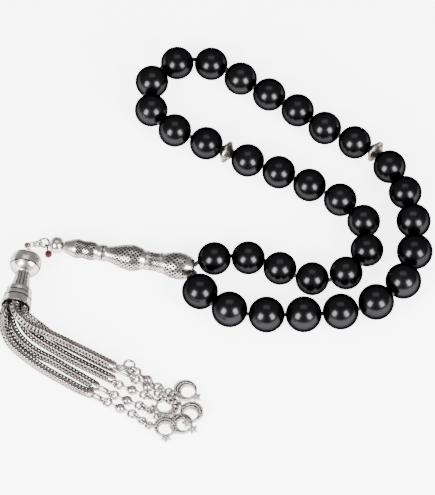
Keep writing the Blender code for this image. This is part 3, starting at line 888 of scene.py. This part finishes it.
strandSize = dict(gather=0.82, radius=1.35, pitch=1.12, core=0.75, lead=0.9, eye=0.95, eyeWire=0.4,
                  eyeOffset=0.1, link=1.0, linkWire=0.38, linkPast=0.75, ferrule=1.32, ferruleBack=1.0,
                  ferrulePast=0.35, ferruleEnd=1.2)
weaveSize = dict(ring=0.62, wire=0.2, longer=1.2, wider=1.22, lean=32.0, sink=0.07)
looseRing = dict(strand=4, centre=(-5.2, 13.9, 2.0), major=1.6, wire=0.4)
strandRoutes = [  # from the bell's rim down to the ferrule
    [(-62.5, -24.1, 5.55), (-63.3, -26.4, 4.7), (-63.0, -29.3, 2.7), (-61.0, -33.4, 1.35),
     (-57.6, -37.2, 1.35), (-53.8, -40.5, 1.35), (-49.7, -43.6, 1.35), (-45.2, -46.5, 1.35),
     (-40.8, -49.3, 1.35), (-37.2, -51.1, 1.35)],
    [(-61.6, -24.3, 2.65), (-61.2, -26.7, 2.0), (-59.6, -30.2, 1.4), (-56.6, -34.0, 1.35),
     (-52.8, -37.1, 1.35), (-48.7, -39.5, 1.35), (-44.5, -42.4, 1.35), (-40.2, -45.3, 1.35),
     (-35.6, -48.5, 1.35)],
    [(-58.4, -24.9, 2.65), (-57.6, -26.7, 2.1), (-55.6, -29.6, 1.4), (-52.3, -32.6, 1.35),
     (-48.5, -35.3, 1.35), (-44.5, -38.0, 1.35), (-40.7, -40.3, 1.35), (-36.7, -42.6, 1.35),
     (-33.3, -44.6, 1.35), (-30.8, -46.1, 1.35)],
    [(-57.5, -25.2, 5.6), (-55.8, -26.6, 4.5), (-53.2, -27.8, 2.6), (-50.1, -29.9, 1.45),
     (-46.1, -32.9, 1.35), (-41.8, -35.4, 1.35), (-37.5, -38.0, 1.35), (-33.3, -40.5, 1.35),
     (-29.8, -42.4, 1.35)],
    [(-60.0, -24.6, 7.4), (-58.8, -27.4, 7.1), (-55.4, -29.9, 5.6), (-51.0, -31.3, 4.15),
     (-46.6, -33.7, 4.05), (-42.2, -36.2, 4.05), (-37.9, -38.7, 4.05), (-33.7, -41.2, 4.05),
     (-30.6, -43.0, 4.0)],
]
endOrigin = Vector((-28.6, -56.2, 0.0)) * mm
endAlong = Vector((0.86, -0.51, 0.0)).normalized()
endAcross = Vector((0.51, 0.86, 0.0)).normalized()
endUnits = [  # the places here are along and across the row of balls, and the third number is a height
    dict(ball=(0.0, 0.0, 1.5), turn=2, jump=1.6, rings=[(7.8, -0.3, 1.5), (10.4, -0.8, 1.7)],
         crescent=(14.8, 1.2), star=-58, base=1.45),
    dict(ball=(0.35, 3.4, 1.5), turn=5, jump=1.6,
         rings=[(8.2, 3.8, 1.9), (10.75, 3.4, 1.0), (13.15, 3.75, 0.47)],
         crescent=(17.75, 5.1), star=0, base=0.0),
    dict(ball=(-0.3, 7.2, 1.5), turn=6, jump=1.6, rings=[],
         crescent=(11.2, 8.35), star=225, base=0.0),
    dict(ball=(1.8, 12.6, 1.5), turn=-9, jump=1.6, rings=[(9.4, 12.2, 1.6), (11.5, 11.85, 1.95)],
         crescent=(12.95, 15.65), star=-6, base=0.0),
    dict(ball=(3.6, 9.6, 3.25), turn=-4, jump=3.0, rings=[(11.4, 9.2, 2.5), (13.8, 9.6, 2.05)],
         crescent=(18.8, 9.4), star=-78, base=1.45),
]
strandBodies = ["chain_1_body", "lower_chains", "lower_chains", "chain_4_body", "chain_5_body"]
linkSize = dict(ball=1.5, ring=1.2, wire=0.43, near=4.3, far=4.0, pin=0.45, collar=0.75)


def endPlace(along, across, height=0.0):
    return endOrigin + (endAlong * along + endAcross * across) * mm + up * height * mm


def endDirection(degrees):
    angle = math.radians(degrees)
    return endAlong * math.cos(angle) + endAcross * math.sin(angle)


# Four leaning links, one to a side, that the array repeats along X
def makeWeaveUnit(pitch):
    size = weaveSize
    parts = []
    for k in range(4):
        fresh()
        bpy.ops.mesh.primitive_torus_add(major_radius=size["ring"] * mm, minor_radius=size["wire"] * mm,
                                         major_segments=14, minor_segments=5)
        link = start(f"weave{k}", chainSilver)
        lean = math.radians(size["lean"] if k % 2 else -size["lean"])
        out = (strandSize["radius"] - size["wire"] - size["sink"]) * mm
        link.data.transform(Matrix.Diagonal((size["longer"], size["wider"], 1.0, 1.0)))
        link.data.transform(Matrix.Rotation(lean, 4, "Z"))
        link.data.transform(Matrix.Translation((pitch / 2 * (k % 2), 0.0, out)))
        link.data.transform(Matrix.Rotation(turn / 8 + turn * k / 4, 4, "X"))
        parts.append(link)
    return joined("weaveUnit", parts)


def makeWeave(points, number):
    length = lengthOf(points)
    count = max(2, round(length / (strandSize["pitch"] * mm)))
    weave = makeWeaveUnit(length / count)
    guide = curveOf(f"guide{number}", points)
    applyModifier(weave, "ARRAY", use_relative_offset=False, use_constant_offset=True,
                  constant_offset_displace=(length / count, 0.0, 0.0), count=count)
    applyModifier(weave, "CURVE", object=guide, deform_axis="POS_X")
    smooth(weave, 70.0)
    bpy.data.objects.remove(guide)
    return weave


def makeStrand(number, route, unit):
    size = strandSize
    outside = [Vector(spot) * mm for spot in route]
    sideways = outside[0] - capTop - capAxis * (outside[0] - capTop).dot(capAxis)
    inside = capTop + capAxis * (capSize["rim"] - size["lead"]) * mm + sideways * size["gather"]
    points = smoothRoute([inside, *outside], 6)
    weave = makeWeave(points, number)
    # A dark core inside the weave, painted shade between its links.
    core = meshOf(curveOf("core", points, size["core"] * mm), hollowShade)
    ahead = endDirection(unit["turn"])
    eyeOff = linkSize["near"] + linkSize["ring"] + size["eyeOffset"]
    eyeCentre = endPlace(*unit["ball"]) - ahead * eyeOff * mm
    back = eyeCentre - ahead * size["eye"] * mm
    end = points[-1]
    tailway = (end - points[-2]).normalized()
    past = end + tailway * size["ferrulePast"] * mm
    reach = (end - back).length / 2 + size["linkPast"] * mm
    parts = [weave, core,
             ringPiece("strandEye", eyeCentre, up.cross(ahead), size["eye"] * mm, size["eyeWire"] * mm),
             ringPiece("strandLink", (end + back) / 2 - tailway * 0.1 * mm,
                       up * 0.85 + up.cross(ahead) * 0.4, size["link"] * mm, size["linkWire"] * mm,
                       stretch=reach / (size["link"] * mm), across=back - end),
             rodPiece("ferrule", end - tailway * size["ferruleBack"] * mm, past, size["ferrule"] * mm),
             ballPiece("ferruleEnd", past, size["ferruleEnd"] * mm, silver, 0.5, tailway)]
    if number == looseRing["strand"]:
        parts.append(ringPiece("looseRing", endPlace(*looseRing["centre"]), up * 0.9 + endAlong * 0.3,
                               looseRing["major"] * mm, looseRing["wire"] * mm))
    finishPiece(joined(f"strand{number}", parts), strandBodies[number - 1], "chain", f"chain_{number}")


# Ball links and charms

charmSize = dict(radius=3.5, hole=2.05, offset=1.0, thickness=1.1, jump=1.2, jumpWire=0.4,
                 jumpOffset=0.3, flat=1.0, sides=56, star=1.65, waist=0.52, starOut=4.0, stud=0.24,
                 studSteps=34, leanMajor=0.8, leanWire=0.34, leanPast=0.55, leanLow=1.02)


def makeBallLink(number, unit):
    size = linkSize
    ahead = endDirection(unit["turn"])
    middle = endPlace(*unit["ball"])
    near, far = middle - ahead * size["near"] * mm, middle + ahead * size["far"] * mm
    parts = [ballPiece("ball", middle, size["ball"] * mm),
             rodPiece("pin", near + ahead * size["ring"] * mm, far - ahead * size["ring"] * mm,
                      size["pin"] * mm)]
    for centre, sign in ((near, 1.0), (far, -1.0)):
        parts.append(ringPiece("eye", centre, up, size["ring"] * mm, size["wire"] * mm))
        parts.append(ballPiece("collar", middle - ahead * sign * (size["ball"] + 0.02) * mm,
                               size["collar"] * mm, silver, 0.4, ahead))
    finishPiece(joined(f"ballLink{number}", parts), f"ball_link_{number}", "silver", f"ball_link_{number}")


def makeStudModel():
    fresh()
    bpy.ops.mesh.primitive_uv_sphere_add(segments=8, ring_count=6, radius=charmSize["stud"] * mm)
    model = start("studModel", silver)
    smooth(model, 60.0)
    return model


studModel = makeStudModel()


def studAt(spot, scale=1.0):
    made = copyOf(studModel, "stud")
    made.data.transform(Matrix.Translation(spot) @ Matrix.Scale(scale, 4))
    return made


def makeCrescentModel():
    size = charmSize
    fresh()
    bpy.ops.mesh.primitive_circle_add(vertices=size["sides"], radius=size["radius"] * mm)
    model = start("crescentModel", silver, pave)
    editEdges()
    bpy.ops.mesh.primitive_circle_add(vertices=size["sides"], radius=size["hole"] * mm,
                                      location=(size["offset"] * mm, 0.0, 0.0))
    bpy.ops.mesh.select_all(action="SELECT")
    bpy.ops.mesh.bridge_edge_loops()
    bpy.ops.mesh.select_all(action="SELECT")
    raiseBy(size["thickness"] * mm)
    faceOutwards()
    bpy.ops.object.mode_set(mode="OBJECT")
    bake(model)
    mouldEdges(model, 0.16, 40)
    for side in (1.0, -1.0):
        only(model)
        pickFaces(model, lambda c, n, i: n.z * side > 0.95)
        bpy.ops.mesh.inset(thickness=0.06 * mm, depth=0.0)
        bpy.ops.mesh.inset(thickness=0.02 * mm, depth=-0.08 * mm)
        assignSlot(model, 1)
    smooth(model, 30.0)
    parts = [model]
    for height in (size["thickness"] - 0.05, 0.05):  # studs on both faces, in 1 to 3 rows
        for k in range(size["studSteps"]):
            angle = turn * k / size["studSteps"]
            way = Vector((math.cos(angle), math.sin(angle), 0.0))
            inner = way.x * size["offset"] + math.sqrt(size["hole"] ** 2 - (way.y * size["offset"]) ** 2)
            width = size["radius"] - inner
            rows = 3 if width > 1.5 else 2 if width > 0.8 else 1
            for row in range(rows):
                reach = inner + width * (row + 0.5) / rows
                parts.append(studAt(way * reach * mm + up * height * mm, min(1.15, width / rows / 0.58)))
    return joined("crescentModel", parts)


def makeStarModel():
    size = charmSize
    fresh()
    bpy.ops.mesh.primitive_circle_add(vertices=10, radius=size["star"] * mm, fill_type="NGON")
    model = start("starModel", silver, pave)
    model.data.transform(Matrix.Rotation(-math.pi / 2, 4, "Z"))
    for point in model.data.vertices:
        angle = math.atan2(point.co.y, point.co.x) % turn
        if round(angle / (math.pi / 5)) % 2:  # every second point is a waist between two tips
            point.co *= size["waist"]
    editEdges()
    bpy.ops.mesh.select_all(action="SELECT")
    raiseBy(size["thickness"] * mm)
    faceOutwards()
    bpy.ops.object.mode_set(mode="OBJECT")
    mouldEdges(model, 0.12, 40)
    smooth(model, 30.0)
    parts = [model]
    for height in (size["thickness"], 0.0):
        parts.append(studAt(up * height * mm, 1.6))
        for k in range(5):
            angle = turn * k / 5
            out = Vector((math.cos(angle), math.sin(angle), 0.0))
            parts.append(studAt(out * 0.75 * mm + up * height * mm, 1.05))
    return joined("starModel", parts)


crescentModel = makeCrescentModel()
starModel = makeStarModel()


def makeCharm(number, unit):
    size = charmSize
    hingeAway = (linkSize["far"] + linkSize["ring"]) * mm
    hinge = endPlace(*unit["ball"]) + endDirection(unit["turn"]) * hingeAway
    hinge.z = unit["jump"] * mm
    base = endPlace(*unit["crescent"], unit["base"])
    stops = [(endPlace(*ring), size["flat"] * mm) for ring in unit["rings"]]
    stops.append((base + up * size["thickness"] * mm / 2, (size["radius"] - 0.2) * mm))
    ahead = levelWay(hinge, stops[0][0])
    jump = hinge + ahead * size["jumpOffset"] * mm
    toward = endDirection(unit["star"])
    crescent = layAlong(copyOf(crescentModel, "crescent"), base, up, toward)
    starSpot = base + toward * size["starOut"] * mm + up * 0.1 * mm
    parts = [crescent, layAlong(copyOf(starModel, "star"), starSpot, up, toward),
             ringPiece("jump", jump, up.cross(ahead), size["jump"] * mm, size["jumpWire"] * mm)]
    before = (jump, size["jump"] * mm)
    for k, (place, radius) in enumerate(stops):
        gap = levelWay(before[0], place)
        first = before[0] + gap * (before[1] - 0.07 * mm)
        last = place - gap * (radius - 0.11 * mm)
        if (last - first).length > 0.3 * mm:  # a leaning ring fills the gap
            middle = (first + last) / 2
            middle.z = max(middle.z, size["leanLow"] * mm)
            reach = (last - first).length / 2 + size["leanPast"] * mm
            lean = (up.cross(gap) * 0.8 + up * 0.6).normalized()
            parts.append(ringPiece("leaningRing", middle, lean, size["leanMajor"] * mm, size["leanWire"] * mm,
                                   stretch=max(1.0, reach / (size["leanMajor"] * mm)), across=gap))
        if k < len(stops) - 1:
            parts.append(ringPiece("flatRing", place, up, radius, size["jumpWire"] * mm))
        before = (place, radius)
    finishPiece(joined(f"charm{number}", parts), f"charm_{number}", "silver", f"charm_{number}")


for number, (strandRoute, unit) in enumerate(zip(strandRoutes, endUnits), 1):
    makeStrand(number, strandRoute, unit)
    makeBallLink(number, unit)
    makeCharm(number, unit)
print("tassel made")

# The models have been copied, so they go.
for model in (beadModel, dividerModel, ballModel, rodModel, studModel, crescentModel, starModel):
    bpy.data.objects.remove(model)

low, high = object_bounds()
